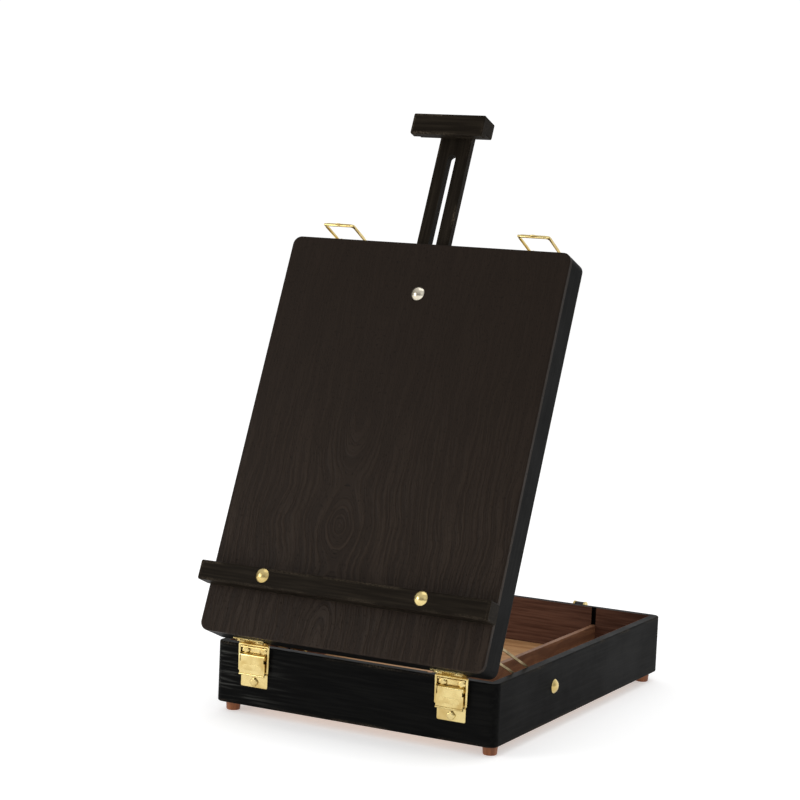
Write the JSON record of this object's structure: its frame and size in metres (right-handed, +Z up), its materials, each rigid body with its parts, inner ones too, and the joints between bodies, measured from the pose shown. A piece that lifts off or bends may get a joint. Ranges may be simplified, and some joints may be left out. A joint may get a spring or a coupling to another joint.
{
  "type": "tabletop artist easel",
  "caption": "Black wooden tabletop sketch-box easel: hinged lid as a drawing board, sliding mast with canvas clamp, canvas ledge, stay arms, draw latches and carry handle.",
  "frame": {"origin": "centre of the object's footprint with the lid leaning open, on the surface that the feet stand on", "axes": "+X to the user's right across the box, +Y away from the user, +Z up"},
  "size_m": [0.266, 0.387, 0.5048],
  "materials": {
    "black_lid_panel": "satin",
    "black_wood": "satin",
    "floor_wood": "matt",
    "divider_wood": "matt",
    "foot_wood": "satin",
    "gold_brass": "satin",
    "silver_bolt": "satin",
    "zinc_steel": "satin",
    "handle_plastic": "matt"
  },
  "bodies": {
    "base": {"base_front_wall": "black_wood", "base_rear_wall": "black_wood", "base_left_wall": "black_wood", "base_right_wall": "black_wood", "floor_panel": "floor_wood", "divider": "divider_wood", "foot_blocks": "black_wood", "feet": "foot_wood", "foot_screws": "zinc_steel", "stay_bolts": "gold_brass", "stay_washers": "zinc_steel", "front_latch_plate_left": "gold_brass", "front_latch_plate_right": "gold_brass", "front_latch_pin_left": "gold_brass", "front_latch_pin_right": "gold_brass", "rear_strike_left": "gold_brass", "rear_strike_right": "gold_brass", "base_fitting_screws": "gold_brass", "handle_brackets": "gold_brass", "handle_pins": "gold_brass", "handle_screws": "zinc_steel"},
    "lid": {"lid_panel": "black_lid_panel", "lid_front_rail": "black_wood", "lid_rear_rail": "black_wood", "lid_left_rail": "black_wood", "lid_right_rail": "black_wood", "mast_guides": "black_wood", "mast_clamp_bolt": "silver_bolt", "mast_clamp_washer": "zinc_steel", "canvas_ledge": "black_wood", "ledge_bolts": "gold_brass", "ledge_nuts": "zinc_steel", "stay_pivot_screws": "gold_brass", "front_strike_left": "gold_brass", "front_strike_right": "gold_brass", "rear_latch_plate_left": "gold_brass", "rear_latch_plate_right": "gold_brass", "rear_latch_pin_left": "gold_brass", "rear_latch_pin_right": "gold_brass", "lid_fitting_screws": "gold_brass"},
    "mast": {"mast": "black_wood", "mast_head": "black_wood", "mast_head_screws": "zinc_steel"},
    "mast_nut": {"mast_wing_nut": "gold_brass"},
    "handle": {"carry_handle": "handle_plastic"},
    "stay_left": {"stay_arm_left": "gold_brass"},
    "stay_nut_left": {"stay_wing_nut_left": "gold_brass"},
    "front_lever_left": {"front_latch_lever_left": "gold_brass"},
    "front_bail_left": {"front_latch_bail_left": "gold_brass"},
    "rear_lever_left": {"rear_latch_lever_left": "gold_brass"},
    "rear_bail_left": {"rear_latch_bail_left": "gold_brass"},
    "stay_right": {"stay_arm_right": "gold_brass"},
    "stay_nut_right": {"stay_wing_nut_right": "gold_brass"},
    "front_lever_right": {"front_latch_lever_right": "gold_brass"},
    "front_bail_right": {"front_latch_bail_right": "gold_brass"},
    "rear_lever_right": {"rear_latch_lever_right": "gold_brass"},
    "rear_bail_right": {"rear_latch_bail_right": "gold_brass"}
  },
  "joints": [
    {"name": "lid_hinge", "type": "hinge", "parent": "base", "child": "lid", "pos_m": [0, -0.16708, 0.061], "axis": [1, 0, 0], "range_deg": [-67.9, 2.1]},
    {"name": "mast_slide", "type": "slide", "parent": "lid", "child": "mast", "axis": [0, 0.3762, 0.9265], "range_m": [-0.0965, 0.14]},
    {"name": "mast_nut_turn", "type": "hinge", "parent": "lid", "child": "mast_nut", "pos_m": [0, -0.06627, 0.35098], "axis": [0, -0.9265, 0.3762], "continuous": true},
    {"name": "handle_swing", "type": "hinge", "parent": "base", "child": "handle", "pos_m": [0, 0.18902, 0.0575], "axis": [1, 0, 0], "range_deg": [0, 110]},
    {"name": "stay_pivot_left", "type": "hinge", "parent": "lid", "child": "stay_left", "pos_m": [-0.12, -0.16207, 0.08768], "axis": [1, 0, 0], "range_deg": [-2.48, 73.91]},
    {"name": "stay_nut_turn_left", "type": "hinge", "parent": "base", "child": "stay_nut_left", "pos_m": [-0.115, -0.05188, 0.038], "axis": [-1, 0, 0], "continuous": true},
    {"name": "front_lever_lift_left", "type": "hinge", "parent": "base", "child": "front_lever_left", "pos_m": [-0.0915, -0.16778, 0.052], "axis": [-1, 0, 0], "range_deg": [0, 130]},
    {"name": "front_bail_swing_left", "type": "hinge", "parent": "front_lever_left", "child": "front_bail_left", "pos_m": [-0.0915, -0.16708, 0.0395], "axis": [-1, 0, 0], "range_deg": [-209, 0]},
    {"name": "rear_lever_lift_left", "type": "hinge", "parent": "lid", "child": "rear_lever_left", "pos_m": [-0.0915, -0.04042, 0.39153], "axis": [-1, 0, 0], "range_deg": [-152, 0]},
    {"name": "rear_bail_swing_left", "type": "hinge", "parent": "rear_lever_left", "child": "rear_bail_left", "pos_m": [-0.0915, -0.02805, 0.39351], "axis": [-1, 0, 0], "range_deg": [0, 326]},
    {"name": "stay_pivot_right", "type": "hinge", "parent": "lid", "child": "stay_right", "pos_m": [0.12, -0.16207, 0.08768], "axis": [1, 0, 0], "range_deg": [-2.48, 73.91]},
    {"name": "stay_nut_turn_right", "type": "hinge", "parent": "base", "child": "stay_nut_right", "pos_m": [0.115, -0.05188, 0.038], "axis": [1, 0, 0], "continuous": true},
    {"name": "front_lever_lift_right", "type": "hinge", "parent": "base", "child": "front_lever_right", "pos_m": [0.0915, -0.16778, 0.052], "axis": [-1, 0, 0], "range_deg": [0, 130]},
    {"name": "front_bail_swing_right", "type": "hinge", "parent": "front_lever_right", "child": "front_bail_right", "pos_m": [0.0915, -0.16708, 0.0395], "axis": [-1, 0, 0], "range_deg": [-209, 0]},
    {"name": "rear_lever_lift_right", "type": "hinge", "parent": "lid", "child": "rear_lever_right", "pos_m": [0.0915, -0.04042, 0.39153], "axis": [-1, 0, 0], "range_deg": [-152, 0]},
    {"name": "rear_bail_swing_right", "type": "hinge", "parent": "rear_lever_right", "child": "rear_bail_right", "pos_m": [0.0915, -0.02805, 0.39351], "axis": [-1, 0, 0], "range_deg": [0, 326]}
  ],
  "couplings": [
    {"joint": "stay_pivot_left", "follows": "lid_hinge", "ratio": -1.0855},
    {"joint": "front_bail_swing_left", "follows": "front_lever_lift_left", "ratio": -1.6},
    {"joint": "rear_bail_swing_left", "follows": "rear_lever_lift_left", "ratio": -2.1382},
    {"joint": "stay_pivot_right", "follows": "lid_hinge", "ratio": -1.0855},
    {"joint": "front_bail_swing_right", "follows": "front_lever_lift_right", "ratio": -1.6},
    {"joint": "rear_bail_swing_right", "follows": "rear_lever_lift_right", "ratio": -2.1382}
  ]
}
